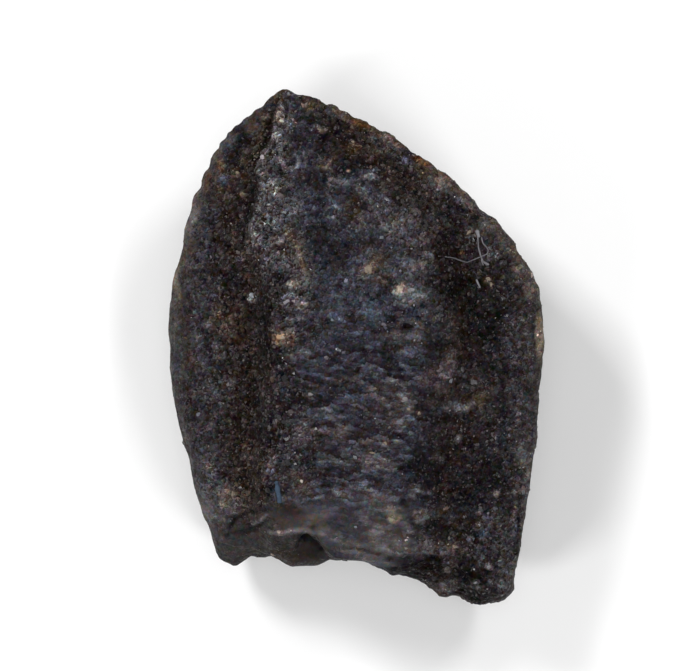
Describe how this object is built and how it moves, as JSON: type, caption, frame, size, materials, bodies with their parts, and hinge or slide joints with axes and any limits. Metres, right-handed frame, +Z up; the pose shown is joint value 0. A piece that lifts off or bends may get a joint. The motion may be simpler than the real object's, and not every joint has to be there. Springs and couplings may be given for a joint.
{
  "type": "fossil baby triceratops tooth",
  "caption": "Fossil crown of a juvenile horned dinosaur's cheek tooth, with a ridged enamel face, notched margins, flat worn back and broken base, lying on its back.",
  "frame": {"origin": "under the middle of the tooth's bounding box, on the plane that its worn back rests on", "axes": "+Y from the broken base to the tip of the crown, +Z up from the worn back to the ridged enamel face, +X to the right as that face is seen from above with the tip away from the viewer"},
  "size_m": [0.0068, 0.0092, 0.0046],
  "materials": {
    "fossil_enamel": "near-black mineralised enamel and dentine, granular, with a dull sheen"
  },
  "bodies": {
    "root": {"baby_triceratops_tooth": "fossil_enamel"}
  },
  "joints": []
}
